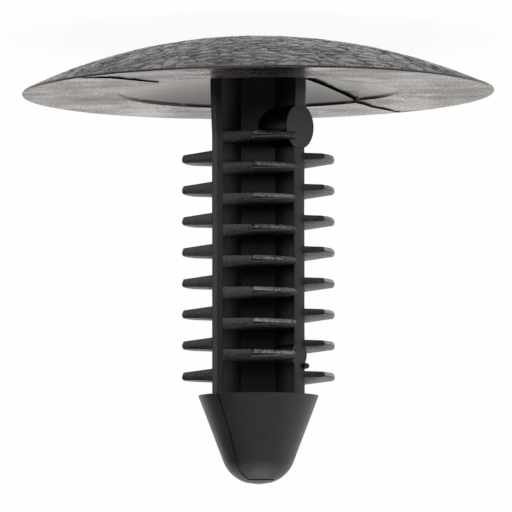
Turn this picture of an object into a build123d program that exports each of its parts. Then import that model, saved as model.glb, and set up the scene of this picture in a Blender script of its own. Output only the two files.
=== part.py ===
from build123d import *
import math
import os

# A push-in retainer clip, moulded in one piece of black nylon.
# It has a wide domed head, a stem of four arms that cross on the diagonals,
# a ladder of thin flexible fins, and a blunt cone that finds the hole.
# The clip stands on its head, and the stem points up along +Z.
# The origin is the middle of the dome, where it touches the ground.
# All lengths are in millimetres and all angles in degrees.

# Head: a shallow dome with a flat underside and a round dish in it, behind a low wall
head_diameter = 38.0
head_height = 4.35
crown_flat_diameter = 5.0
rim_edge = 0.25
rim_bevel = 0.15
rim_break = 0.08
dish_diameter = 22.6
dish_depth = 1.9
dish_wall = 0.17

# Stem: four arms on the diagonals of a square core
arm_span = 9.28
arm_thickness = 1.25
core_width = 4.5
head_root_depth = 0.6
nose_root_depth = 0.2

# Fins: eight on each side, the front and back rows a little nearer the head
fin_count = 8
fin_pitch = 2.5
fin_diameter = 12.25
fin_thickness = 1.02
fin_draft = 2.85
fin_end_lap = 0.2
front_row_lead = 1.52
rim_to_first_side_fin = 5.38
last_side_fin_to_shoulder = 1.52

# Ejector pads: round bosses on one arm that the mould's pins press on
large_pad_radius = 1.72
rim_to_large_pad = 2.95
small_pad_radius = 1.02
shoulder_to_small_pad = 3.15

# Nose: a blunt cone with a square shoulder
nose_diameter = 9.6
nose_length = 7.1
nose_half_angle = 20.8
nose_flat_radius = 0.2
shoulder_break = 0.06

# Heights above the ground
row_rise = fin_pitch * (fin_count - 1)
stem_bottom = head_height - dish_depth - head_root_depth
first_side_fin = head_height + rim_to_first_side_fin
first_front_fin = first_side_fin - front_row_lead
shoulder = first_side_fin + row_rise + last_side_fin_to_shoulder
large_pad_height = head_height + rim_to_large_pad
small_pad_height = shoulder - shoulder_to_small_pad

# Sizes that follow
head_radius = head_diameter / 2
crown_flat_radius = crown_flat_diameter / 2
dish_radius = dish_diameter / 2
fin_radius = fin_diameter / 2
nose_radius = nose_diameter / 2
half_core = core_width / 2

# Where the two corners of an arm's flat end lie, measured along X or Y
arm_near_corner = (arm_span - arm_thickness) / 2 / math.sqrt(2)
arm_far_corner = (arm_span + arm_thickness) / 2 / math.sqrt(2)
fin_end = arm_near_corner + fin_end_lap

# The mould opens along one pair of arms, so the fins taper that way
pull = Vector(-1, -1, 0)
across_pull = Vector(1, -1, 0)


def cap_angle(radius, sphere):
    """Angle at the sphere's centre from the cap's middle to its edge."""
    return math.degrees(math.asin(radius / sphere))


# One fin of the front row, lying level through the origin
fin_taper = math.tan(math.radians(fin_draft))
fin_thin_half = fin_thickness / 2 - fin_radius * fin_taper
fin_thick_half = fin_thickness / 2 + half_core * fin_taper

with BuildPart() as front_fin:
    # Plan: one end square, the other flush with the flat end of an arm
    fin_reach = -arm_far_corner - arm_near_corner - fin_end
    with BuildSketch() as fin_plan:
        Circle(fin_radius)
        with BuildLine():
            Polyline(
                (half_core, -half_core),
                (arm_near_corner, -arm_far_corner),
                (-fin_end, fin_reach),
                (-fin_end, -fin_end),
                (-half_core, -half_core),
                close=True,
            )
        make_face(mode=Mode.INTERSECT)
    extrude(amount=fin_thickness, both=True)

    # Side view along the parting line: thick at the parting line, thin at the tip
    with BuildSketch(Plane(origin=(0, 0, 0), x_dir=pull, z_dir=across_pull)):
        with BuildLine():
            Polyline(
                (-half_core, -fin_thick_half),
                (fin_radius, -fin_thin_half),
                (fin_radius, fin_thin_half),
                (-half_core, fin_thick_half),
                close=True,
            )
        make_face()
    extrude(amount=2 * fin_radius, both=True, mode=Mode.INTERSECT)


with BuildPart() as clip:
    # Stem, from inside the head to inside the nose
    with BuildSketch(Plane.XY.offset(stem_bottom)):
        for turn in (45, 135):
            Rectangle(arm_span, arm_thickness, rotation=turn)
        Rectangle(core_width, core_width)
    extrude(amount=shoulder + nose_root_depth - stem_bottom)

    # Ejector pads, each a round boss that ends flush with its arm
    for pad_height, pad_radius in (
        (large_pad_height, large_pad_radius),
        (small_pad_height, small_pad_radius),
    ):
        with BuildSketch(Plane(origin=(0, 0, pad_height), x_dir=across_pull, z_dir=pull)):
            Circle(pad_radius)
        extrude(amount=arm_span / 2)

    # Fins: the front and back rows, then the two side rows
    rows = [fin_pitch * step for step in range(fin_count)]
    side_fin = mirror(front_fin.part, about=Plane(origin=(0, 0, 0), z_dir=across_pull), mode=Mode.PRIVATE)
    with Locations(*[(0, 0, first_front_fin + rise) for rise in rows]):
        with PolarLocations(0, 2):
            add(front_fin.part)
    with Locations(*[(0, 0, first_side_fin + rise) for rise in rows]):
        with PolarLocations(0, 2):
            add(side_fin)

    # Head, turned about the stem's axis; its crown is flat where the clip stands on it
    dome_rise = head_height - rim_edge
    dome_centre = (head_radius**2 + dome_rise**2 - crown_flat_radius**2) / (2 * dome_rise)
    dome_sphere = math.hypot(crown_flat_radius, dome_centre)
    dome_turn = cap_angle(head_radius, dome_sphere) - cap_angle(crown_flat_radius, dome_sphere)
    dish_rise = dish_depth - dish_wall
    dish_sphere = (dish_radius**2 + dish_rise**2) / (2 * dish_rise)
    dish_turn = cap_angle(dish_radius, dish_sphere)
    with BuildSketch(Plane.XZ) as head_section:
        with BuildLine():
            crown = Line((0, 0), (crown_flat_radius, 0))
            dome = JernArc(crown @ 1, (dome_centre, crown_flat_radius), dome_sphere, dome_turn)
            dish = JernArc((0, head_height - dish_depth), (1, 0), dish_sphere, dish_turn)
            Polyline(dome @ 1, (head_radius, head_height), (dish_radius, head_height), dish @ 1)
            Line(crown @ 0, dish @ 0)
        make_face()
        chamfer(head_section.vertices().group_by(Axis.X)[-1].sort_by(Axis.Y)[0], rim_bevel)
        chamfer(head_section.vertices().group_by(Axis.Y)[-1].sort_by(Axis.X)[-1], rim_break)
    revolve(axis=Axis.Z)

    # Nose, turned about the same axis
    cone_end = nose_radius - nose_length * math.tan(math.radians(nose_half_angle))
    half_turn = math.radians(90 - nose_half_angle) / 2
    nose_tip_round = (cone_end - nose_flat_radius) / math.tan(half_turn)
    with BuildSketch(Plane.XZ) as nose_section:
        with BuildLine():
            Polyline(
                (0, shoulder),
                (nose_radius, shoulder),
                (cone_end, shoulder + nose_length),
                (0, shoulder + nose_length),
                close=True,
            )
        make_face()
        fillet(nose_section.vertices().group_by(Axis.Y)[-1].sort_by(Axis.X)[-1], nose_tip_round)
        chamfer(nose_section.vertices().sort_by(Axis.X)[-1], shoulder_break)
    revolve(axis=Axis.Z)

clip.part.label = "retainer_clip"

os.makedirs("parts", exist_ok=True)
export_step(clip.part, "parts/retainer_clip.step")

print("Overall height:", round(shoulder + nose_length, 3))
print("Volume:", round(clip.part.volume, 2), "solids:", len(clip.part.solids()))
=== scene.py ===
"""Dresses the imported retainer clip: a grained head, a finned stem and a blunt nose, on a white floor.

The clip stands on its domed head with the stem up. The camera looks at it from -Y and is turned
upside down, because the photograph shows the clip hanging head up. Sizes in the classes are in
millimetres, and every mesh is turned into metres when it is made.
"""

import logging
import math
from dataclasses import dataclass
from enum import Enum
from typing import Callable, Sequence, Union

import bpy
import numpy as np
from mathutils import Matrix, Vector


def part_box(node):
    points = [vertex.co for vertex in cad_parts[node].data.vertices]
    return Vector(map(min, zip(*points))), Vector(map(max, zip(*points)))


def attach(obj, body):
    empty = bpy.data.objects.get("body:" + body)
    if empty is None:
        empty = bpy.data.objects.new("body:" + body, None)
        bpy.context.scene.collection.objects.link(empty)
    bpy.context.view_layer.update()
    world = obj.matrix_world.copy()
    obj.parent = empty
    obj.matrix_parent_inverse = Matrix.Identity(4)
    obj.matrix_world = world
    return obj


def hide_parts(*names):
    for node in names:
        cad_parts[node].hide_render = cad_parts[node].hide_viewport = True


LOG = logging.getLogger("retainer_clip")

MM = 0.001
NODE = "retainer_clip"
BODY = "root"

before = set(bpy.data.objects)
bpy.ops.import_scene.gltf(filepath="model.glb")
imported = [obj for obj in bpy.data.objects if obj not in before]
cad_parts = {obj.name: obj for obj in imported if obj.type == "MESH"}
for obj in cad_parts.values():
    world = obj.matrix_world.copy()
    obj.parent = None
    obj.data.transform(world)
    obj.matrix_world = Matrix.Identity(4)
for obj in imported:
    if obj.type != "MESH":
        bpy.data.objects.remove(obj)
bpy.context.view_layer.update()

Colour = tuple[float, float, float]
Limits = tuple[float, float]
Value = Union["Signal", float]

ROOT2 = math.sqrt(2)
WHITE: Colour = (1.0, 1.0, 1.0)

# Wide patches and flow marks that all the finishes share
CLOUDS_PER_MM = 0.16
PATCH_EDGES: Limits = (0.36, 0.64)
FLOW_STRETCH: Colour = (170.0, 430.0, 1.0)
FLOW_EDGES: Limits = (0.3, 0.7)
GROOVE_ROUGHNESS = 0.2


class Surface(Enum):
    """The surfaces that the mould leaves on the clip, in the order of the head's material slots; the crevice
    is finished darker as painted shade.
    """

    DOME = 0
    LAND = 1
    DISH = 2
    # Upright wall of the parting line's step, darker and less shiny as painted shade
    CREVICE_PAINTED_SHADE = 3


@dataclass(frozen=True)
class Signal:
    """A shader socket that takes part in Python sums; each operator adds a Math node."""

    graph: "Graph"
    socket: bpy.types.NodeSocket

    def __add__(self, other: Value) -> "Signal":
        """Adds a value."""
        return self.graph.math("ADD", self, other)

    __radd__ = __add__

    def __sub__(self, other: Value) -> "Signal":
        """Takes a value away."""
        return self.graph.math("SUBTRACT", self, other)

    def __rsub__(self, other: Value) -> "Signal":
        """Takes this signal away from a value."""
        return self.graph.math("SUBTRACT", other, self)

    def __mul__(self, other: Value) -> "Signal":
        """Multiplies by a value."""
        return self.graph.math("MULTIPLY", self, other)

    __rmul__ = __mul__


class Graph:
    """Builds one node tree, whether a material's or the world's."""

    def __init__(self, tree: bpy.types.NodeTree) -> None:
        """Empties the tree.

        Args:
            tree: The node tree to fill.
        """
        self.tree = tree
        tree.nodes.clear()

    def node(self, kind: str, settings: dict | None = None, inputs: dict | None = None) -> bpy.types.Node:
        """Adds a node.

        Args:
            kind: The node's type.
            settings: Properties of the node.
            inputs: Values, signals or sockets, by the name or the number of the node's socket.

        Returns:
            The new node.
        """
        made = self.tree.nodes.new(kind)
        for name, setting in (settings or {}).items():
            setattr(made, name, setting)
        for name, value in (inputs or {}).items():
            if isinstance(value, Signal):
                self.tree.links.new(value.socket, made.inputs[name])
            elif isinstance(value, bpy.types.NodeSocket):
                self.tree.links.new(value, made.inputs[name])
            else:
                made.inputs[name].default_value = value
        return made

    def signal(self, node: bpy.types.Node, output: Union[str, int] = 0) -> Signal:
        """Wraps one output of a node."""
        return Signal(self, node.outputs[output])

    def math(self, operation: str, first: Value, second: Value = 0.0) -> Signal:
        """Adds a Math node with two inputs."""
        made = self.node("ShaderNodeMath", {"operation": operation}, {0: first, 1: second})
        return self.signal(made)

    def smooth(self, value: Value, low: float, high: float) -> Signal:
        """Turns a value into 0 below low, 1 above high and a smooth step between them."""
        made = self.node(
            "ShaderNodeMapRange",
            {"interpolation_type": "SMOOTHSTEP"},
            {"Value": value, "From Min": low, "From Max": high},
        )
        return self.signal(made)

    def mix_colours(self, factor: Value, first: Union[Colour, Signal], second: Colour) -> Signal:
        """Blends two colours by a factor."""
        start = first if isinstance(first, Signal) else (*first, 1.0)
        made = self.node("ShaderNodeMix", {"data_type": "RGBA"}, {0: factor, 6: start, 7: (*second, 1.0)})
        return self.signal(made, 2)

    def scaled_place(self, place: bpy.types.NodeSocket, factors: Colour) -> Signal:
        """Stretches coordinates along the three axes."""
        made = self.node("ShaderNodeVectorMath", {"operation": "MULTIPLY"}, {0: place, 1: factors})
        return self.signal(made)

    def noise(self, place: Signal, scale: float, detail: float = 2.0) -> Signal:
        """Samples a noise texture, with its middle near 0.5."""
        made = self.node("ShaderNodeTexNoise", None, {"Vector": place, "Scale": scale, "Detail": detail})
        return self.signal(made, "Fac")


@dataclass(frozen=True)
class NylonFinish:
    """Black nylon as one part of the mould leaves it; some finishes carry painted light and shade in their
    colours. Lengths are in millimetres.

    Attributes:
        name: The material's name.
        deep: Colour in the hollows of the texture.
        raised: Colour on top of the texture.
        roughness: Middle roughness.
        roughness_spread: How far the roughness strays from its middle.
        texture_size: Width of one bump of the mould's texture.
        texture_depth: Height of those bumps.
        fine_size: Width of the finest bumps.
        fine_depth: Height of the finest bumps.
        stretch: How far the texture is drawn out along Y.
        grooved: True where the mesh says how deep its leather grooves are; the grooves turn rougher and take
            the deep colour as painted shade.
        streaks: How far wide flow marks change the roughness.
        ior: Index of refraction, low in a crevice that light doesn't leave.
    """

    name: str
    deep: Colour = (0.0014, 0.0007, 0.0028)
    raised: Colour = (0.0042, 0.0032, 0.0056)
    roughness: float = 0.42
    roughness_spread: float = 0.12
    texture_size: float = 0.5
    texture_depth: float = 0.006
    fine_size: float = 0.11
    fine_depth: float = 0.003
    stretch: float = 1.0
    grooved: bool = False
    streaks: float = 0.0
    ior: float = 1.53

    def material(self) -> bpy.types.Material:
        """Makes the material.

        Returns:
            A new material with this finish.
        """
        made = bpy.data.materials.new(self.name)
        made.use_nodes = True
        graph = Graph(made.node_tree)
        place = graph.node("ShaderNodeTexCoord").outputs["Object"]
        in_mm = graph.scaled_place(place, (1 / MM, 1 / MM / self.stretch, 1 / MM))
        coarse = graph.noise(in_mm, 1 / self.texture_size, 3.0)
        fine = graph.noise(in_mm, 1 / self.fine_size, 2.0)
        clouds = graph.noise(in_mm, CLOUDS_PER_MM, 2.0)
        patches = graph.smooth(coarse * 0.5 + clouds * 0.5, *PATCH_EDGES)
        roughness = self.roughness + (patches - 0.5) * self.roughness_spread
        if self.grooved:
            groove = graph.signal(graph.node("ShaderNodeAttribute", {"attribute_name": "groove"}), "Fac")
            # Painted shade: the grooves take the deep colour
            patches = patches * (1.0 - groove)
            roughness = roughness + groove * GROOVE_ROUGHNESS
        if self.streaks:
            flow = graph.noise(graph.scaled_place(place, FLOW_STRETCH), 1.0, 3.0)
            roughness = roughness + (graph.smooth(flow, *FLOW_EDGES) - 0.5) * self.streaks
        height = coarse * (self.texture_depth * MM) + fine * (self.fine_depth * MM)
        bump = graph.node("ShaderNodeBump", None, {"Height": height, "Distance": 1.0, "Strength": 1.0})
        shader = graph.node(
            "ShaderNodeBsdfPrincipled",
            None,
            {
                "Base Color": graph.mix_colours(patches, self.deep, self.raised),
                "Roughness": roughness,
                "IOR": self.ior,
                "Normal": bump.outputs["Normal"],
            },
        )
        graph.node("ShaderNodeOutputMaterial", None, {"Surface": shader.outputs["BSDF"]})
        return made


# Dome: the raised colour, far paler than black nylon, is painted light from the bright floor's reflection
LEATHER_PAINTED_LIGHT = NylonFinish(
    "nylon_leather_painted_light_and_shade", deep=(0.004, 0.003, 0.005), raised=(0.13, 0.122, 0.132), roughness=0.25,
    texture_size=0.4, texture_depth=0.022, fine_depth=0.006, grooved=True,
)
SPARKED = NylonFinish(
    "nylon_sparked", deep=(0.003, 0.0025, 0.003), raised=(0.035, 0.031, 0.027), roughness=0.28,
    roughness_spread=0.24, texture_size=0.2, texture_depth=0.007, fine_depth=0.0035, stretch=1.6,
    streaks=0.11,
)
POLISHED = NylonFinish(
    "nylon_polished", deep=(0.004, 0.0035, 0.004), raised=(0.016, 0.0145, 0.0145), roughness=0.18,
    roughness_spread=0.06, texture_size=1.2, texture_depth=0.002, fine_depth=0.0006,
)
# Parting line's step wall: darker and less shiny than the nylon round it, painted shade
CREVICE_PAINTED_SHADE = NylonFinish(
    "nylon_crevice_painted_shade", deep=(0.001, 0.001, 0.001), raised=(0.002, 0.002, 0.002), roughness=0.6, ior=1.12,
)
SATIN = NylonFinish("nylon_satin", roughness=0.38, texture_size=0.26, texture_depth=0.011, fine_depth=0.005)
# Torn fin edges: the pale raised colour is a painted highlight where light catches the rough edge
TORN_PAINTED_HIGHLIGHT = NylonFinish(
    "nylon_torn_edge_painted_highlight", deep=(0.002, 0.0015, 0.003), raised=(0.42, 0.4, 0.4), roughness=0.38,
    texture_size=0.2, texture_depth=0.05, fine_depth=0.014,
)
# Fin face towards the nose: the pale raised colour is a painted reflection of the bright surroundings
PITTED_PAINTED_REFLECTION = NylonFinish(
    "nylon_pitted_painted_reflection", deep=(0.001, 0.001, 0.0015), raised=(0.1, 0.097, 0.095), roughness=0.46,
    texture_size=0.2, texture_depth=0.13, fine_depth=0.03, ior=1.44,
)
# Upright band of the fins' straight ends: the pale speckles are painted highlights
SPECKLED_PAINTED_HIGHLIGHT = NylonFinish(
    "nylon_speckled_painted_highlight", deep=(0.002, 0.0015, 0.003), raised=(0.045, 0.043, 0.05), roughness=0.36,
    texture_size=0.22, texture_depth=0.03, fine_depth=0.008,
)
FINE_MATT = NylonFinish(
    "nylon_fine_matt", deep=(0.0035, 0.003, 0.004), raised=(0.009, 0.0085, 0.009), roughness=0.42,
    texture_size=0.3, texture_depth=0.013, fine_depth=0.005,
)
HEAD_FINISHES = (LEATHER_PAINTED_LIGHT, SPARKED, POLISHED, CREVICE_PAINTED_SHADE)
STEM_FINISHES = (SATIN, TORN_PAINTED_HIGHLIGHT, PITTED_PAINTED_REFLECTION, SPECKLED_PAINTED_HIGHLIGHT)


class ValueNoise:
    """Smooth random values over space, the same on every run."""

    CELLS = 32
    OFFSET = 7.3

    def __init__(self, seed: int) -> None:
        """Draws the values at the corners of a cubic lattice.

        Args:
            seed: Picks the draw.
        """
        self.lattice = np.random.default_rng(seed).uniform(-1.0, 1.0, (self.CELLS,) * 3)

    def at(self, points: np.ndarray, size: float) -> np.ndarray:
        """Samples the noise.

        Args:
            points: One row of x, y, z for each sample, in millimetres.
            size: Width of one bump, in millimetres.

        Returns:
            Values from -1 to 1.
        """
        scaled = points / size + self.OFFSET
        cell = np.floor(scaled).astype(int)
        part = scaled - cell
        part = part * part * (3 - 2 * part)
        total = np.zeros(len(points))
        for corner in np.ndindex(2, 2, 2):
            weight = np.ones(len(points))
            for axis in range(3):
                weight *= part[:, axis] if corner[axis] else 1 - part[:, axis]
            index = (cell + np.array(corner)) % self.CELLS
            total += weight * self.lattice[index[:, 0], index[:, 1], index[:, 2]]
        return total


def cracks(points: np.ndarray, size: float, seed: int) -> np.ndarray:
    """Tells how far each point lies from the edge of its cell in an uneven pattern of cells.

    Args:
        points: Flat positions, one row of x and y each, in millimetres.
        size: Mean width of a cell.
        seed: Picks the pattern.

    Returns:
        Distances to the nearest cell edge, in millimetres.
    """
    tiles, margin, reach, far = 64, 0.08, 2, 9.0
    seeds = np.random.default_rng(seed).uniform(margin, 1 - margin, (tiles, tiles, 2))
    scaled = points / size
    cell = np.floor(scaled).astype(int)
    found = np.full((len(points), 2), far)
    for step in np.ndindex(2 * reach + 1, 2 * reach + 1):
        index = cell + np.array(step) - reach
        centre = index + seeds[index[:, 0] % tiles, index[:, 1] % tiles]
        gap = np.hypot(*(centre - scaled).T)
        nearest = np.minimum(found[:, 0], gap)
        found[:, 1] = np.minimum(found[:, 1], np.maximum(found[:, 0], gap))
        found[:, 0] = nearest
    return (found[:, 1] - found[:, 0]) * size / 2


def levelled(flat: np.ndarray) -> np.ndarray:
    """Puts flat positions at height zero, where a noise is read over the plan."""
    return np.column_stack([flat, np.zeros(len(flat))])


def shifts(points: np.ndarray, seed: int, size: float) -> np.ndarray:
    """Samples the noises of a seed and the next one, as the two columns of a shift in plan."""
    return np.column_stack([ValueNoise(seed + step).at(points, size) for step in (0, 1)])


def full_turn(count: int) -> np.ndarray:
    """Lists evenly spaced angles round a circle, in radians."""
    return np.linspace(0, 2 * math.pi, count + 1)[:-1]


def circle(count: int, radius: float, height: float, middle: Limits = (0.0, 0.0)) -> np.ndarray:
    """Lists the points of a level circle round a middle given in plan."""
    turns = full_turn(count)
    return np.column_stack([
        middle[0] + radius * np.cos(turns), middle[1] + radius * np.sin(turns), np.full(count, height)
    ])


def add_mesh(name: str, points: np.ndarray, faces: Sequence[Sequence[int]]) -> bpy.types.Object:
    """Makes a mesh object.

    Args:
        name: The object's name.
        points: Corners in millimetres, one row each.
        faces: Corner numbers of each face.

    Returns:
        The object, linked to the scene.
    """
    mesh = bpy.data.meshes.new(name)
    mesh.from_pydata((np.asarray(points) * MM).tolist(), [], [list(map(int, face)) for face in faces])
    mesh.validate()
    made = bpy.data.objects.new(name, mesh)
    bpy.context.scene.collection.objects.link(made)
    return made


def cut_or_join(piece: bpy.types.Object, tool: bpy.types.Object, operation: str) -> None:
    """Cuts a closed mesh with another or joins them, and deletes the tool.

    Args:
        piece: The mesh that is changed.
        tool: The mesh that cuts it or is added to it.
        operation: "UNION" or "DIFFERENCE".
    """
    modifier = piece.modifiers.new(operation, "BOOLEAN")
    modifier.operation = operation
    modifier.solver = "MANIFOLD"
    modifier.object = tool
    graph = bpy.context.evaluated_depsgraph_get()
    result = bpy.data.meshes.new_from_object(piece.evaluated_get(graph), depsgraph=graph)
    piece.modifiers.clear()
    old = piece.data
    piece.data = result
    bpy.data.meshes.remove(old)
    bpy.data.objects.remove(tool)


def loft(loops: Sequence[np.ndarray]) -> tuple[np.ndarray, list[list[int]]]:
    """Joins closed loops of as many points each into a closed body with two flat ends.

    Args:
        loops: The loops in order, each one row of x, y, z for each point.

    Returns:
        The points and the faces.
    """
    count = len(loops[0])
    faces = [list(range(count))[::-1]]
    for row in range(len(loops) - 1):
        start = row * count
        for step in range(count):
            after = (step + 1) % count
            faces.append([start + step, start + after, start + count + after, start + count + step])
    faces.append([(len(loops) - 1) * count + step for step in range(count)])
    return np.concatenate(loops), faces


def ribbon_cutter(
    name: str, path: np.ndarray, outward: np.ndarray, width: np.ndarray, depth: float, rise: float
) -> bpy.types.Object:
    """Makes a thin wedge along a line on a surface, which cuts a V-shaped groove.

    Args:
        name: The object's name.
        path: Points on the surface.
        outward: The surface's normal at each point.
        width: The groove's width at each point.
        depth: The groove's depth.
        rise: How far the wedge stands out of the surface.

    Returns:
        The wedge.
    """
    along = np.gradient(path, axis=0)
    across = np.cross(outward, along)
    across /= np.linalg.norm(across, axis=1)[:, None]
    spread = across * (width / 2 * (depth + rise) / depth)[:, None]
    loops = [
        np.stack([path[i] - outward[i] * depth, path[i] + outward[i] * rise + spread[i],
                  path[i] + outward[i] * rise - spread[i]])
        for i in range(len(path))
    ]
    points, faces = loft(loops)
    return add_mesh(name, points, faces)


def finish_piece(piece: bpy.types.Object, sharp_angle: float) -> None:
    """Shades a piece, fixes it to the clip's body and hides the imported part that it stands for.

    Args:
        piece: The finished mesh object.
        sharp_angle: Edges that turn by more than this many degrees stay crisp.
    """
    for polygon in piece.data.polygons:
        polygon.use_smooth = True
    piece.data.set_sharp_from_angle(angle=math.radians(sharp_angle))
    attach(piece, BODY)
    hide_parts(NODE)
    LOG.info("%s: %d faces", piece.name, len(piece.data.polygons))


@dataclass(frozen=True)
class ClipSizes:
    """Sizes that more than one piece of the clip uses, in millimetres."""

    head_radius: float
    height: float
    head_height: float = 4.35
    dish_radius: float = 11.3
    dish_depth: float = 1.9
    half_core: float = 2.25
    arm_reach: float = 4.64
    arm_thickness: float = 1.25
    nose_length: float = 7.1
    head_root_depth: float = 0.6
    nose_root_depth: float = 0.2

    @property
    def shoulder(self) -> float:
        """Height of the nose's flat shoulder."""
        return self.height - self.nose_length


def sizes_from_frame() -> ClipSizes:
    """Reads the clip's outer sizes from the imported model."""
    low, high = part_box(NODE)
    return ClipSizes(head_radius=(high.x - low.x) / 2 / MM, height=high.z / MM)


@dataclass
class Head:
    """The domed head: leather grain outside, a flat ring and a round dish inside."""

    sizes: ClipSizes
    cells: int = 256
    crown_flat: float = 2.5
    dome_rise: float = 4.24
    lip_inset: float = 0.06
    ring_rise: float = 0.07
    lean_back: float = 0.15
    lean_aside: float = 0.16
    dish_wall: float = 0.17

    # Leather grain: wide wrinkles, finer creases, round pebbles and slow swells
    wrinkle_size: float = 1.2
    wrinkle_width: float = 0.1
    wrinkle_depth: float = 0.14
    wrinkle_squeeze: Limits = (0.75, 1.2)
    crease_size: float = 0.55
    crease_width: float = 0.055
    crease_depth: float = 0.05
    crease_squeeze: Limits = (0.8, 1.25)
    pebble_size: float = 0.42
    pebble_depth: float = 0.016
    swell_size: float = 1.5
    swell_depth: float = 0.02
    rim_fade: float = 0.15
    slope_radius: float = 46.0

    # Underside: slight waves, and rings of points that lie close together at the dish's wall
    ring_ripple: float = 0.006
    ring_wave: float = 0.012
    dish_wave: float = 0.01
    wall_inset: float = 0.05
    wall_blend: float = 0.06
    wall_rings: tuple[float, ...] = (-0.09, -0.05, -0.02, 0.0, 0.03, 0.09)
    dish_share: float = 0.55

    # Parting line: its corners in plan on both sides of the stem, and the step's height along it
    seam_near: tuple[Limits, ...] = (
        (14.75, -12.3), (13.3, -12.25), (11.75, -11.95), (10.2, -10.4), (8.8, -8.9), (7.9, -8.05),
    )
    seam_far: tuple[Limits, ...] = ((-7.9, 7.9), (-8.5, 9.1), (-9.3, 11.1), (-10.4, 13.0), (-11.6, 15.0))
    seam_steps: tuple[Limits, ...] = (
        (-19.0, 0.03), (-17.0, 0.09), (-12.0, 0.17), (-6.0, 0.17),
        (11.0, 0.08), (15.5, 0.15), (17.5, 0.09), (19.0, 0.02),
    )
    seam_fade: float = 6.0
    seam_channel: float = 0.8
    seam_ramp: float = 0.32
    seam_wander: float = 0.05
    seam_spacing: float = 0.15
    seam_rim_gap: float = 0.15
    seam_overlap: float = 0.003
    seam_bar_height: float = 0.6
    seam_crisp: Limits = (-1.2, 0.4)

    def build(self) -> bpy.types.Object:
        """Builds and dresses the head.

        Returns:
            The finished piece.
        """
        dome, dome_faces, dome_edge = self._disc(self.cells, self._dome_radii(self.cells // 2))
        under_cells = self.cells // 2
        under, under_faces, under_edge = self._disc(under_cells, self._under_radii(under_cells // 2))
        dome_points, groove = self._dome_surface(dome)
        under_points = self._tilted(np.column_stack([under, self._under_height(under)]))
        lip_loops = self._lip(dome[dome_edge], dome_points[dome_edge])
        points = [dome_points, under_points, *lip_loops]
        under_start = len(dome_points)
        lip_start = under_start + len(under_points)
        faces = [face[::-1] for face in dome_faces]
        surfaces = [Surface.DOME] * len(faces)
        below = list(dome_edge)
        for level in range(len(lip_loops)):
            above = list(range(lip_start + level * len(dome_edge), lip_start + (level + 1) * len(dome_edge)))
            after = [*range(1, len(below)), 0]
            faces += [[below[i], below[j], above[j], above[i]] for i, j in enumerate(after)]
            below = above
        surfaces += [Surface.DOME if level < 2 else Surface.LAND
                     for level in range(len(lip_loops)) for _ in dome_edge]
        inner = [under_start + i for i in under_edge]
        for i, first in enumerate(inner):
            second = inner[(i + 1) % len(inner)]
            a, b, c = below[2 * i], below[2 * i + 1], below[(2 * i + 2) % len(below)]
            faces += [[a, b, first], [b, second, first], [b, c, second]]
            surfaces += [Surface.LAND] * 3
        radii = np.hypot(*under.T)
        for face in under_faces:
            faces.append([under_start + i for i in face])
            in_dish = radii[list(face)].mean() < self.sizes.dish_radius
            surfaces.append(Surface.DISH if in_dish else Surface.LAND)
        piece = add_mesh("head", np.concatenate(points), faces)
        bar = self._seam_cutter()
        for finish in HEAD_FINISHES:
            material = finish.material()
            piece.data.materials.append(material)
            bar.data.materials.append(material)
        piece.data.polygons.foreach_set("material_index", [surface.value for surface in surfaces])
        # The groove depth goes to the leather finish, which paints the grooves darker as shade
        attribute = piece.data.attributes.new("groove", "FLOAT", "POINT")
        values = np.zeros(len(piece.data.vertices), np.float32)
        values[: len(groove)] = groove
        attribute.data.foreach_set("value", values)
        cut_or_join(piece, bar, "DIFFERENCE")
        finish_piece(piece, 40)
        self._flatten_seam(piece)
        return piece

    def _flatten_seam(self, piece: bpy.types.Object) -> None:
        """Shades the faces beside the parting line flat, so that its step stays crisp."""
        polygons = piece.data.polygons
        centres = np.empty(len(polygons) * 3)
        polygons.foreach_get("center", centres)
        aside = self._seam_frame(centres.reshape(-1, 3)[:, :2] / MM)[0]
        nearest, farthest = self.seam_crisp
        for polygon, distance in zip(polygons, aside):
            if polygon.material_index and nearest < distance < farthest:
                polygon.use_smooth = False

    @staticmethod
    def _disc(cells: int, radii: np.ndarray) -> tuple[np.ndarray, list[list[int]], list[int]]:
        """Spreads a square grid over a disc, so that its points lie about evenly.

        Args:
            cells: Cells along one side of the grid.
            radii: Radius of each ring, from the middle out.

        Returns:
            The flat points, the faces, and the outer loop counter-clockwise.
        """
        half = cells // 2
        i, j = np.meshgrid(np.arange(-half, half + 1), np.arange(-half, half + 1), indexing="ij")
        i, j = i.ravel(), j.ravel()
        ring = np.maximum(abs(i), abs(j))
        wide = abs(i) >= abs(j)
        safe_i, safe_j = np.where(i == 0, 1, i), np.where(j == 0, 1, j)
        angle = np.where(
            wide,
            math.pi / 4 * j / safe_i + np.where(i < 0, math.pi, 0),
            math.pi / 2 - math.pi / 4 * i / safe_j + np.where(j < 0, math.pi, 0),
        )
        radius = radii[ring]
        flat = np.column_stack([radius * np.cos(angle), radius * np.sin(angle)])
        side = cells + 1
        faces = [
            [a * side + b, (a + 1) * side + b, (a + 1) * side + b + 1, a * side + b + 1]
            for a in range(cells)
            for b in range(cells)
        ]
        outer = np.flatnonzero(ring == half)
        turn = np.round(np.mod(angle[outer], 2 * math.pi), 9)
        return flat, faces, list(outer[np.argsort(turn)])

    def _dome_radii(self, rings: int) -> np.ndarray:
        """Rings of the dome, evenly spaced."""
        return np.linspace(0, self.sizes.head_radius - self.lip_inset, rings + 1)

    def _under_radii(self, rings: int) -> np.ndarray:
        """Rings of the underside, with a few close together at the dish's wall."""
        wall = self.sizes.dish_radius + np.array(self.wall_rings)
        inside = round(rings * self.dish_share)
        outside = rings + 1 - inside - len(wall)
        rim = self.sizes.head_radius - self.lip_inset
        return np.concatenate([
            np.linspace(0, wall[0], inside + 1)[:-1], wall, np.linspace(wall[-1], rim, outside + 1)[1:]
        ])

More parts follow.
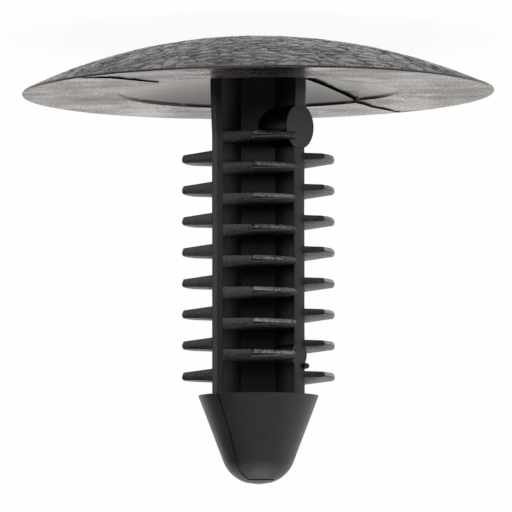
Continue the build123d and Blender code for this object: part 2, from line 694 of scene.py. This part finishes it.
    def _dome_height(self, radius: np.ndarray) -> np.ndarray:
        """Height of the smooth dome over a distance from the axis."""
        rise, flat, reach = self.dome_rise, self.crown_flat, self.sizes.head_radius
        centre = (reach**2 + rise**2 - flat**2) / (2 * rise)
        sphere = math.hypot(flat, centre)
        return np.maximum(0.0, centre - np.sqrt(sphere**2 - radius**2))

    def _tilted(self, points: np.ndarray) -> np.ndarray:
        """Lets the head lean a little, as it does in the photograph, and keeps its crown on the floor."""
        lean = self.lean_back * points[:, 1] + self.lean_aside * points[:, 0]
        lean *= points[:, 2] / (self.sizes.head_radius * self.sizes.head_height)
        return points + np.column_stack([np.zeros((len(points), 2)), lean])

    def _dome_surface(self, flat: np.ndarray) -> tuple[np.ndarray, np.ndarray]:
        """Presses the leather grain into the dome.

        Args:
            flat: Positions of the points in plan.

        Returns:
            The points, and how deep in a groove each one lies, from 0 to 1.
        """
        radius = np.hypot(*flat.T)
        level = levelled(flat)
        bend, sway = shifts(level, 3, 0.8), shifts(level, 15, 2.1)
        wide = ValueNoise(5).at(level, 1.7)
        wrinkle = cracks(flat * self.wrinkle_squeeze + bend * 0.45 + sway * 0.5, self.wrinkle_size, 11)
        crease = cracks(flat * self.crease_squeeze + bend * 0.35, self.crease_size, 12)
        strong = np.exp(-((wrinkle / (self.wrinkle_width * (1.0 + 0.5 * wide))) ** 2))
        strong *= np.clip(0.85 + 0.6 * ValueNoise(17).at(level, 0.9), 0.15, 1)
        weak = np.exp(-((crease / self.crease_width) ** 2)) * np.clip(0.5 + 0.9 * wide, 0, 1)
        depth = self.wrinkle_depth * strong + self.crease_depth * weak
        pebbles = self.pebble_depth * (1 + ValueNoise(6).at(level, self.pebble_size))
        depth += pebbles + self.swell_depth * (1 + ValueNoise(18).at(level, self.swell_size))
        fade = np.clip((self.sizes.head_radius - self.lip_inset - radius) / self.rim_fade, 0, 1)
        points = self._tilted(np.column_stack([flat, self._dome_height(radius)]))
        slope = np.arcsin(np.clip(radius / self.slope_radius, 0, 1))
        outward = flat / np.maximum(radius, 1e-6)[:, None]
        inward = np.column_stack([-outward * np.sin(slope)[:, None], np.cos(slope)])
        groove = np.clip(strong + 0.6 * weak, 0, 1) * fade
        return points + inward * (depth * fade)[:, None], groove

    def _under_height(self, flat: np.ndarray) -> np.ndarray:
        """Height of the underside: the flat ring, the dish's wall and the dish."""
        size = self.sizes
        radius = np.hypot(*flat.T)
        level = levelled(flat)
        slack = size.head_radius - size.dish_radius
        land = size.head_height + self.ring_rise * (radius - size.dish_radius) / slack
        ripple, wave = ValueNoise(8).at(level, 0.5), ValueNoise(9).at(level, 3.0)
        land += self.ring_ripple * ripple + self.ring_wave * wave
        wall_foot = size.dish_radius - self.wall_inset
        depth = size.dish_depth - self.dish_wall
        sphere = (wall_foot**2 + depth**2) / (2 * depth)
        bowl = size.head_height - size.dish_depth + sphere - np.sqrt(np.maximum(sphere**2 - radius**2, 0))
        bowl += self.dish_wave * ValueNoise(10).at(level, 4.0)
        blend = np.clip((radius - (size.dish_radius - self.wall_blend)) / self.wall_blend, 0, 1)
        height = np.where(radius <= wall_foot, bowl, land * blend + bowl * (1 - blend))
        aside, step = self._seam_frame(flat)
        lowered = 1 - np.clip((-aside - self.seam_ramp) / self.seam_fade, 0, 1)
        return height - np.where(aside < -self.seam_ramp, step * lowered, 0.0)

    def _seam_line(self) -> tuple[np.ndarray, np.ndarray]:
        """Gives the parting line as distances along the mould's diagonal and away from it."""
        corners = np.array([*self.seam_near, *self.seam_far], float)
        along = (corners[:, 0] - corners[:, 1]) / ROOT2
        aside = (corners[:, 0] + corners[:, 1]) / ROOT2
        return along[::-1], aside[::-1]

    @staticmethod
    def _seam_noise(seed: int, along: np.ndarray, size: float) -> np.ndarray:
        """Samples a noise along the mould's diagonal."""
        return ValueNoise(seed).at(np.column_stack([along, np.zeros((len(along), 2))]), size)

    def _seam_frame(self, flat: np.ndarray) -> tuple[np.ndarray, np.ndarray]:
        """Tells where points lie from the parting line, and the step between the mould's halves there.

        Args:
            flat: Positions in plan.

        Returns:
            Distances from the line, and heights of the step.
        """
        line_along, line_aside = self._seam_line()
        along = (flat[:, 0] - flat[:, 1]) / ROOT2
        aside = (flat[:, 0] + flat[:, 1]) / ROOT2
        wander = self.seam_wander * self._seam_noise(21, along, 1.6)
        places, steps = np.array(self.seam_steps).T
        step = np.interp(along, places, steps) * (1 + 0.3 * self._seam_noise(23, along, 1.1))
        return aside - np.interp(along, line_along, line_aside) - wander, step

    def _lip(self, flat: np.ndarray, edge: np.ndarray) -> list[np.ndarray]:
        """Rounds the rim between the dome and the flat ring.

        Args:
            flat: The dome's outer loop in plan.
            edge: The same loop in space.

        Returns:
            Loops from below to above.
        """
        direction = flat / np.hypot(*flat.T)[:, None]
        reach, top = self.sizes.head_radius, self.sizes.head_height + self.ring_rise
        ragged = ValueNoise(14).at(levelled(flat), 0.35)
        loops = []
        for inset, height, roughness in (
            (0.02, self.dome_rise + 0.025, 0.0),
            (0.0, self.dome_rise + 0.06, 0.0),
            (0.004, top - 0.05, 0.006),
            (0.03, top - 0.008, 0.01),
        ):
            outward = direction * (reach - inset - roughness * (1 + ragged))[:, None]
            loops.append(self._tilted(np.column_stack([outward, np.full(len(flat), height)])))
        return loops

    def _seam_cutter(self) -> bpy.types.Object:
        """Makes the bar that leaves an upright step along the parting line.

        Returns:
            The bar, which lies on the lower half and ends at the step.
        """
        line_along, line_aside = self._seam_line()
        along = np.arange(line_along[0], line_along[-1], self.seam_spacing)
        aside = np.interp(along, line_along, line_aside)
        within = self.sizes.head_radius - self.seam_rim_gap
        inside = np.hypot(along, abs(aside) + self.seam_channel) < within
        along, aside = along[inside], aside[inside]
        aside += self.seam_wander * self._seam_noise(21, along, 1.6)
        loops = []
        surfaces = [Surface.LAND.value]
        for place, edge in zip(along, aside):
            across = np.array([edge, edge, edge - self.seam_channel, edge - self.seam_channel])
            flat = np.column_stack([(across + place) / ROOT2, (across - place) / ROOT2])
            surface = self._under_height(flat)
            surface[:2] -= self._seam_frame(flat[:1])[1]
            floor = self._tilted(np.column_stack([flat, surface]))[:, 2] - self.seam_overlap
            loops.append(np.column_stack([flat, floor + np.array([0, 1, 1, 0]) * self.seam_bar_height]))
            in_dish = math.hypot(*flat.mean(axis=0)) < self.sizes.dish_radius
            lower = Surface.DISH if in_dish else Surface.LAND
            # The step's walls and the bar's top take the crevice finish, darker as painted shade
            surfaces += [*[Surface.CREVICE_PAINTED_SHADE.value] * 3, lower.value]
        surfaces[-3:] = []
        points, faces = loft(loops)
        bar = add_mesh("seam_bar", points, faces)
        bar.data.polygons.foreach_set("material_index", surfaces)
        return bar


class FinEdge(Enum):
    """How rough each stretch of a fin's edge is, from 0 to 1."""

    HIDDEN = 0.0
    FLUSH = 0.15
    SQUARE = 0.6
    ROUND = 1.0


@dataclass
class FinnedStem:
    """The stem of four arms, its fins, its two ejector pads and a moulding nodule."""

    sizes: ClipSizes
    fin_count: int = 8
    fin_pitch: float = 2.5
    fin_radius: float = 6.125
    fin_thickness: float = 1.02
    fin_draft: float = 2.85
    front_row_lead: float = 1.52
    rim_to_first_side_fin: float = 5.38
    fin_end_lap: float = 0.2

    # How far a fin's hidden end reaches into the core and the arms
    core_root: float = 0.4
    flush_root: Limits = (0.35, 0.45)
    square_root: float = 0.2

    # Broken edges of a fin, on the head's side and on the nose's side
    sampling: float = 0.13
    low_edge_height: float = 0.3
    low_edge_inset: float = 0.26
    high_edge_height: float = 0.17
    high_edge_inset: float = 0.18
    flush_edge: float = 0.05
    flush_high_edge: float = 0.04

    # Arms: rounded corners, a flare at the head and a fine ridge on the parting line
    arm_rings: float = 0.35
    arm_corner: float = 0.06
    arm_waver: float = 0.012
    root_flare: float = 0.19
    flare_height: float = 3.6
    ridge_height: float = 0.022
    ridge_half_width: float = 0.05

    # Ejector pads, a little taller than wide, and the nodule
    large_pad_radius: float = 1.72
    large_pad_proud: float = 0.12
    large_pad_slim: float = 0.92
    large_pad_shift: float = 0.06
    rim_to_large_pad: float = 2.95
    small_pad_radius: float = 1.02
    small_pad_proud: float = 0.02
    small_pad_slim: float = 0.82
    shoulder_to_small_pad: float = 3.15
    pad_root: float = 1.2
    pad_edge: float = 0.05
    pad_edge_scale: float = 0.965
    nodule_place: Limits = (-3.78, -2.95)
    nodule_past_pad: float = 0.95
    nodule_radius: float = 0.3
    nodule_half_height: float = 0.24

    def build(self) -> bpy.types.Object:
        """Builds and dresses the stem.

        Returns:
            The finished piece.
        """
        piece = self._arms()
        finishes = [finish.material() for finish in STEM_FINISHES]
        fins, pads = self._fins(), self._pads()
        for part in (piece, fins, *pads):
            for finish in finishes:
                part.data.materials.append(finish)
        for part in (fins, *pads):
            cut_or_join(piece, part, "UNION")
        finish_piece(piece, 36)
        return piece

    def _arms(self) -> bpy.types.Object:
        """Builds the cross-shaped stem from inside the head to inside the nose."""
        size = self.sizes
        half = size.arm_thickness / 2
        bottom = size.head_height - size.dish_depth - size.head_root_depth
        top = size.shoulder + size.nose_root_depth
        heights = np.append(np.arange(bottom, top, self.arm_rings), top)
        fold = size.half_core * ROOT2 - half
        loops = []
        for height in heights:
            flare = self.root_flare * (1 - np.clip((height - size.head_height) / self.flare_height, 0, 1))
            reach = size.arm_reach + flare
            loop = []
            for quarter in range(4):
                turn = math.radians(-45 + 90 * quarter)
                profile = [(fold, -half)]
                for bend in np.linspace(-90, 0, 4):
                    angle = math.radians(bend)
                    profile.append((reach - self.arm_corner + self.arm_corner * math.cos(angle),
                                    -half + self.arm_corner + self.arm_corner * math.sin(angle)))
                ridge = self.ridge_height if quarter % 2 == 0 else 0.0
                foot, side = reach + ridge * 0.3, self.ridge_half_width
                profile += [(foot, -side), (reach + ridge, 0.0), (foot, side)]
                profile += [(u, -v) for u, v in profile[4:0:-1]]
                profile.append((fold, half))
                for u, v in profile:
                    loop.append((u * math.cos(turn) - v * math.sin(turn),
                                 u * math.sin(turn) + v * math.cos(turn), height))
            loops.append(np.array(loop))
        points, faces = loft(loops)
        points[:, :2] += shifts(points, 31, 1.1) * self.arm_waver
        return add_mesh("finned_stem", points, faces)

    def _fin_outline(self) -> tuple[np.ndarray, np.ndarray, np.ndarray]:
        """Samples the plan of one front fin.

        Returns:
            The outline, its outward normals, and how rough its edge is, from 0 to 1.
        """
        size = self.sizes
        near = (size.arm_reach - size.arm_thickness / 2) / ROOT2
        far = (size.arm_reach + size.arm_thickness / 2) / ROOT2
        square = -(near + self.fin_end_lap)
        along = math.sqrt(self.fin_radius**2 - size.arm_reach**2) / ROOT2
        middle = size.arm_reach / ROOT2
        flush_end = (middle - along, -middle - along)
        start = math.atan2(flush_end[1], flush_end[0])
        end = math.atan2(-math.sqrt(self.fin_radius**2 - square**2), square)
        arc = [(self.fin_radius * math.cos(a), self.fin_radius * math.sin(a))
               for a in np.linspace(start, end, 16)]
        buried = size.half_core - self.core_root
        inner = square + self.square_root
        aside, back = self.flush_root
        stretches = [
            ([(buried, -buried), (near - aside, -far + back)], FinEdge.HIDDEN),
            ([(near, -far), flush_end], FinEdge.FLUSH),
            (arc, FinEdge.ROUND),
            ([arc[-1], (square, square)], FinEdge.SQUARE),
            ([(inner, inner), (-buried, -buried)], FinEdge.HIDDEN),
        ]
        points, rough = [], []
        for stretch, edge in stretches:
            line, level = np.array(stretch), edge.value
            lengths = np.concatenate([[0], np.cumsum(np.hypot(*np.diff(line, axis=0).T))])
            steps = max(1, round(lengths[-1] / self.sampling)) if level else 1
            for part in np.linspace(0, lengths[-1], steps + 1):
                point = [np.interp(part, lengths, line[:, axis]) for axis in (0, 1)]
                if points and math.dist(points[-1], point) < 1e-6:
                    rough[-1] = max(rough[-1], level)
                    continue
                points.append(point)
                rough.append(level)
        outline = np.array(points)[::-1]
        ahead = np.roll(outline, -1, axis=0) - outline
        behind = outline - np.roll(outline, 1, axis=0)
        tangent = ahead / np.hypot(*ahead.T)[:, None] + behind / np.hypot(*behind.T)[:, None]
        tangent /= np.hypot(*tangent.T)[:, None]
        normals = np.column_stack([tangent[:, 1], -tangent[:, 0]])
        return outline, normals, np.array(rough)[::-1]

    def _fins(self) -> bpy.types.Object:
        """Builds all the fins as one mesh of separate closed bodies."""
        outline, normals, rough = self._fin_outline()
        first_side = self.sizes.head_height + self.rim_to_first_side_fin
        points, faces = [], []
        count = 0
        for row in range(4 * self.fin_count):
            quarter, step = row % 4, row // 4
            on_side = quarter % 2 == 1
            height = first_side - (0 if on_side else self.front_row_lead) + self.fin_pitch * step
            loops = self._fin_loops(outline, normals, rough, 100 + row)
            body, body_faces = loft(loops)
            if on_side:
                body = body[:, [1, 0, 2]]
                body_faces = [face[::-1] for face in body_faces]
            if quarter >= 2:
                body = body * [-1, -1, 1]
            body = body + [0, 0, height]
            points.append(body)
            faces += [[index + count for index in face] for face in body_faces]
            count += len(body)
        fins = add_mesh("fins", np.concatenate(points), faces)
        marks = np.tile(self._fin_finishes(rough), 4 * self.fin_count)
        fins.data.polygons.foreach_set("material_index", marks)
        return fins

    @staticmethod
    def _fin_finishes(rough: np.ndarray) -> np.ndarray:
        """Picks the finish of each face of one fin.

        The round edge is torn on the head's side and pale with painted highlights, the upright band of the
        straight ends is speckled with painted highlights, and the face towards the nose is pitted and pale
        with a painted reflection.

        Args:
            rough: How rough the fin's edge is at each point of its plan.

        Returns:
            The number of the finish for each face, in the loft's order.
        """
        bands, torn_highlight_bands = 7, 3
        following = np.roll(rough, -1)
        on_round = (rough == FinEdge.ROUND.value) & (following == FinEdge.ROUND.value)
        straight = (rough > 0) & (following > 0) & ~on_round
        marks = np.full((bands, len(rough)), STEM_FINISHES.index(SATIN))
        # The torn round edge takes the pale finish, a painted highlight
        marks[:torn_highlight_bands, on_round] = STEM_FINISHES.index(TORN_PAINTED_HIGHLIGHT)
        # The straight ends' upright band takes the pale speckles, painted highlights
        marks[torn_highlight_bands, straight] = STEM_FINISHES.index(SPECKLED_PAINTED_HIGHLIGHT)
        # The face towards the nose takes the pale finish that paints a reflection
        ends = STEM_FINISHES.index(SATIN), STEM_FINISHES.index(PITTED_PAINTED_REFLECTION)
        return np.array([ends[0], *marks.ravel(), ends[1]], dtype=np.int32)

    def _fin_loops(
        self, outline: np.ndarray, normals: np.ndarray, rough: np.ndarray, seed: int
    ) -> list[np.ndarray]:
        """Gives one fin its thickness, its draft and its broken edges.

        Args:
            outline: The fin's plan.
            normals: Outward normals of the plan.
            rough: How rough the edge is at each point.
            seed: Picks this fin's flaws.

        Returns:
            Loops from the head's side to the nose's side.
        """
        taper = math.tan(math.radians(self.fin_draft))
        draw = np.random.default_rng(seed)
        flush = rough == FinEdge.FLUSH.value
        torn = np.clip(rough * 2 - 1, 0, 1)
        low_inset = np.where(flush, self.flush_edge, torn * self.low_edge_inset)
        low_height = np.where(flush, self.flush_edge, torn * self.low_edge_height)
        high_inset = np.where(flush, self.flush_edge, torn * self.high_edge_inset)
        high_height = np.where(flush, self.flush_high_edge, torn * self.high_edge_height)

        def layer(inset: np.ndarray, side: float, rise: np.ndarray, jitter: float) -> np.ndarray:
            """Places one loop at an inset from the outline."""
            shaken = inset + jitter * torn * draw.uniform(-1, 1, len(outline))
            flat = outline - normals * shaken[:, None]
            half = self.fin_thickness / 2 + (flat[:, 0] + flat[:, 1]) / ROOT2 * taper
            lift = jitter * torn * draw.uniform(-1, 1, len(outline))
            return np.column_stack([flat, side * half + rise + lift])

        zero = np.zeros(len(outline))
        return [
            layer(low_inset, -1, zero, 0.0),
            layer(low_inset * 0.5, -1, low_height * 0.2, 0.02),
            layer(low_inset * 0.14, -1, low_height * 0.6, 0.03),
            layer(zero, -1, low_height, 0.02),
            layer(zero, 1, -high_height, 0.015),
            layer(high_inset * 0.14, 1, -high_height * 0.6, 0.02),
            layer(high_inset * 0.5, 1, -high_height * 0.2, 0.015),
            layer(high_inset, 1, zero, 0.0),
        ]

    def _pads(self) -> list[bpy.types.Object]:
        """Builds the two ejector pads and the nodule beside the small one."""
        size = self.sizes
        large = size.head_height + self.rim_to_large_pad + self.large_pad_shift
        small = size.shoulder - self.shoulder_to_small_pad
        pads = []
        turns = full_turn(48)
        for name, height, radius, proud, slim in (
            ("large_pad", large, self.large_pad_radius, self.large_pad_proud, self.large_pad_slim),
            ("small_pad", small, self.small_pad_radius, self.small_pad_proud, self.small_pad_slim),
        ):
            face = size.arm_reach + proud
            loops = []
            steps = (self.pad_root, 1.0), (face - self.pad_edge, 1.0), (face, self.pad_edge_scale)
            for reach, scale in steps:
                across = radius * slim * scale * np.cos(turns)
                up = radius * scale / math.sqrt(slim) * np.sin(turns)
                loops.append(np.column_stack([
                    -reach / ROOT2 + across / ROOT2,
                    -reach / ROOT2 - across / ROOT2,
                    height + up,
                ]))
            points, faces = loft(loops)
            pads.append(add_mesh(name, points, [corners[::-1] for corners in faces]))
        pads.append(self._nodule(small + self.nodule_past_pad))
        return pads

    def _nodule(self, height: float) -> bpy.types.Object:
        """Builds the small blob of nylon beside the small pad."""
        loops = []
        for lift in np.linspace(-0.97, 0.97, 9):
            radius = self.nodule_radius * math.sqrt(1 - lift * lift)
            loops.append(circle(16, radius, height + self.nodule_half_height * lift, self.nodule_place))
        points, faces = loft(loops)
        return add_mesh("nodule", points, faces)


@dataclass
class Nose:
    """The blunt cone with its square shoulder and its parting line."""

    sizes: ClipSizes
    radius: float = 4.84
    half_angle: float = 20.8
    tip_flat: float = 0.2
    shoulder_break: float = 0.03
    shoulder_rings: Limits = (0.6, 2.4)
    tip_height: float = 1.2
    turns: int = 160

    # Parting line: down the cone with a slight lean, then round the tip
    seam_width: float = 0.17
    seam_depth: float = 0.14
    seam_rise: float = 0.06
    seam_start_height: float = -0.02
    seam_spacing: float = 0.2
    tip_ring_height: float = 0.3
    tip_bend_height: float = 0.55
    seam_turn: float = -47.6
    seam_lean: float = -3.2
    seam_lean_height: float = 3.0
    seam_end_turn: float = -150.0

    def build(self) -> bpy.types.Object:
        """Builds and dresses the nose.

        Returns:
            The finished piece.
        """
        points, faces = loft([circle(self.turns, radius, height) for radius, height in self._profile()])
        shake = ValueNoise(41).at(points, 0.45) * 0.006 + ValueNoise(42).at(points, 2.2) * 0.01
        points[:, :2] *= (1 + shake / np.maximum(np.hypot(points[:, 0], points[:, 1]), 0.5))[:, None]
        piece = add_mesh("nose", points, faces)
        piece.data.materials.append(FINE_MATT.material())
        cut_or_join(piece, self._seam_cutter(), "DIFFERENCE")
        finish_piece(piece, 38)
        return piece

    def _outline_radius(self) -> Callable[[float], float]:
        """Gives the nose's radius at a height above its shoulder."""
        slope = math.radians(self.half_angle)
        length = self.sizes.nose_length
        cone_end = self.radius - length * math.tan(slope)
        tip_round = (cone_end - self.tip_flat) / math.tan(math.radians(90 - self.half_angle) / 2)
        touch = length - tip_round * (1 - math.sin(slope))

        def radius_at(height: float) -> float:
            """Radius of the cone, or of the round at its end."""
            if height <= touch:
                return self.radius - height * math.tan(slope)
            drop = height - (length - tip_round)
            return self.tip_flat + math.sqrt(max(tip_round**2 - drop**2, 0.0))

        return radius_at

    def _profile(self) -> list[tuple[float, float]]:
        """Lists the nose's radius and height from the middle of its shoulder to the tip."""
        size = self.sizes
        radius_at = self._outline_radius()
        rim = self.radius - self.shoulder_break
        rows = [(radius, size.shoulder) for radius in (*self.shoulder_rings, rim)]
        cone = np.linspace(self.shoulder_break, size.nose_length - self.tip_height, 34)
        tip = size.nose_length - self.tip_height * np.cos(np.linspace(0, math.pi / 2, 16))[1:]
        rows += [(radius_at(float(height)), size.shoulder + float(height)) for height in (*cone, *tip)]
        return rows

    def _seam_cutter(self) -> bpy.types.Object:
        """Makes the wedge that cuts the parting line down the cone and round its tip."""
        size = self.sizes
        radius_at = self._outline_radius()
        level = size.nose_length - self.tip_ring_height
        foot = level - self.tip_bend_height
        down = [(self.seam_turn + self.seam_lean * min(height / self.seam_lean_height, 1.0), height)
                for height in np.arange(self.seam_start_height, foot, self.seam_spacing)]
        last = down[-1][0]
        bend = [(last - 6.0 * part, foot + 0.5 * part) for part in np.linspace(0, 1, 5)]
        round_tip = [(angle, level) for angle in np.arange(last - 9.0, self.seam_end_turn, -6.0)]
        path, outward = [], []
        for angle, height in [*down, *bend, *round_tip]:
            turn = math.radians(angle)
            radius = radius_at(float(height))
            path.append((radius * math.cos(turn), radius * math.sin(turn), size.shoulder + float(height)))
            outward.append((math.cos(turn), math.sin(turn), 0.35))
        points, normals = np.array(path), np.array(outward)
        normals /= np.linalg.norm(normals, axis=1)[:, None]
        width = self.seam_width * (1 + 0.3 * ValueNoise(43).at(points, 1.5))
        return ribbon_cutter("nose_seam", points, normals, width, self.seam_depth, self.seam_rise)


@dataclass
class Studio:
    """The white floor, the soft light and the camera. Lengths are in millimetres."""

    distance: float = 581.494
    height: float = 64.362
    pitch: float = 4.607
    roll: float = 179.94
    focal_pixels: float = 7259.44
    side_offset: float = 0.184
    image_pixels: float = 512.0
    sensor: float = 36.0
    floor_size: float = 6000.0
    floor_level: float = -0.02
    floor_share: float = 0.95
    lamp_place: tuple[float, float, float] = (-60.0, -30.0, 520.0)
    lamp_size: float = 380.0
    lamp_power: float = 0.6

    # How strongly parts of the surroundings are dimmed or lit, and where those parts begin and end
    dark_side: float = 0.95
    side_dimming: float = 0.88
    far_glow: float = 0.12
    floor_shade: Limits = (-0.16, -0.03)
    camera_side: Limits = (0.1, 0.72)
    low_part: Limits = (0.3, 0.75)
    outer_part: Limits = (0.5, 0.95)
    warm_part: Limits = (0.3, 0.9)
    cool_tint: Colour = (1.0, 0.93, 1.0)
    warm_tint: Colour = (1.0, 0.965, 0.93)

    def build(self) -> None:
        """Sets up everything round the clip."""
        self._camera()
        self._floor()
        self._world()
        self._lamps()
        scene = bpy.context.scene
        scene.view_settings.view_transform = "Standard"

    def _camera(self) -> None:
        """Places the camera as the photograph's was, fitted to points of the clip."""
        data = bpy.data.cameras.new("camera")
        data.sensor_width = self.sensor
        data.lens = self.focal_pixels * self.sensor / self.image_pixels
        data.clip_end = 20.0
        camera = bpy.data.objects.new("camera", data)
        bpy.context.scene.collection.objects.link(camera)
        look = Matrix.Rotation(math.radians(90 - self.pitch), 4, "X")
        turn = Matrix.Rotation(math.radians(self.roll), 4, "Z")
        place = Vector((self.side_offset, -self.distance, self.height)) * MM
        camera.matrix_world = Matrix.Translation(place) @ look @ turn
        bpy.context.scene.camera = camera

    def _floor(self) -> None:
        """Lays a white floor with a faint soft shadow; the clip mirrors its camera side as dark."""
        half = self.floor_size / 2
        corners = [(x * half, y * half, self.floor_level) for x, y in ((-1, -1), (1, -1), (1, 1), (-1, 1))]
        floor = add_mesh("floor", np.array(corners), [(0, 1, 2, 3)])
        material = bpy.data.materials.new("white_floor")
        material.use_nodes = True
        graph = Graph(material.node_tree)
        place = graph.node("ShaderNodeTexCoord").outputs["Object"]
        parts = graph.node("ShaderNodeSeparateXYZ", None, {0: place})
        near = graph.smooth(graph.signal(parts, "Y"), *self.floor_shade)
        path = graph.node("ShaderNodeLightPath")
        camera_ray = graph.signal(path, "Is Camera Ray")
        glossy_ray = graph.signal(path, "Is Glossy Ray")
        seen = camera_ray + glossy_ray * (1.0 - self.dark_side * (1.0 - near))
        diffuse = graph.node("ShaderNodeBsdfDiffuse", None, {"Color": (0.9, 0.9, 0.9, 1.0)})
        glow = graph.node("ShaderNodeEmission", None, {"Color": (*WHITE, 1.0), "Strength": seen})
        share = graph.math("MAXIMUM", camera_ray * self.floor_share, glossy_ray)
        mixed = graph.node("ShaderNodeMixShader", None, {0: share, 1: diffuse.outputs[0], 2: glow.outputs[0]})
        graph.node("ShaderNodeOutputMaterial", None, {"Surface": mixed.outputs[0]})
        floor.data.materials.append(material)

    def _world(self) -> None:
        """Makes the white surroundings: dark low down on the camera's side and dim towards +X."""
        world = bpy.data.worlds.new("white_room")
        bpy.context.scene.world = world
        world.use_nodes = True
        graph = Graph(world.node_tree)
        direction = graph.node("ShaderNodeTexCoord").outputs["Generated"]
        parts = graph.node("ShaderNodeSeparateXYZ", None, {0: direction})
        x, y, z = (graph.signal(parts, axis) for axis in "XYZ")
        towards = graph.smooth(y * -1.0, *self.camera_side)
        low = 1.0 - graph.smooth(graph.math("ABSOLUTE", z), *self.low_part)
        side = graph.smooth(x, *self.outer_part)
        glow = 1.0 + graph.smooth(y, *self.outer_part) * low * self.far_glow
        path = graph.node("ShaderNodeLightPath")
        strength = (glow - towards * low * self.dark_side) * (1.0 - side * self.side_dimming)
        camera_ray = graph.signal(path, "Is Camera Ray")
        seen = graph.math("MAXIMUM", strength, camera_ray)
        far = graph.smooth(y, *self.warm_part)
        warm = graph.mix_colours(far, self.cool_tint, self.warm_tint)
        tint = graph.mix_colours(camera_ray, warm, WHITE)
        light = graph.node("ShaderNodeBackground", None, {"Color": tint, "Strength": seen})
        graph.node("ShaderNodeOutputWorld", None, {"Surface": light.outputs[0]})

    def _lamps(self) -> None:
        """Hangs one wide soft lamp over the clip."""
        data = bpy.data.lights.new("overhead_softbox", "AREA")
        data.shape = "SQUARE"
        data.size = self.lamp_size * MM
        data.energy = self.lamp_power
        lamp = bpy.data.objects.new("overhead_softbox", data)
        bpy.context.scene.collection.objects.link(lamp)
        spot = Vector(self.lamp_place) * MM
        lamp.matrix_world = Matrix.Translation(spot) @ (-spot).to_track_quat("-Z", "Y").to_matrix().to_4x4()


def main() -> None:
    """Builds the clip's three pieces and the studio round them."""
    logging.basicConfig(level=logging.INFO, format="%(message)s")
    sizes = sizes_from_frame()
    for part in (Head(sizes), FinnedStem(sizes), Nose(sizes)):
        part.build()
    Studio().build()


if __name__ == "__main__":
    main()
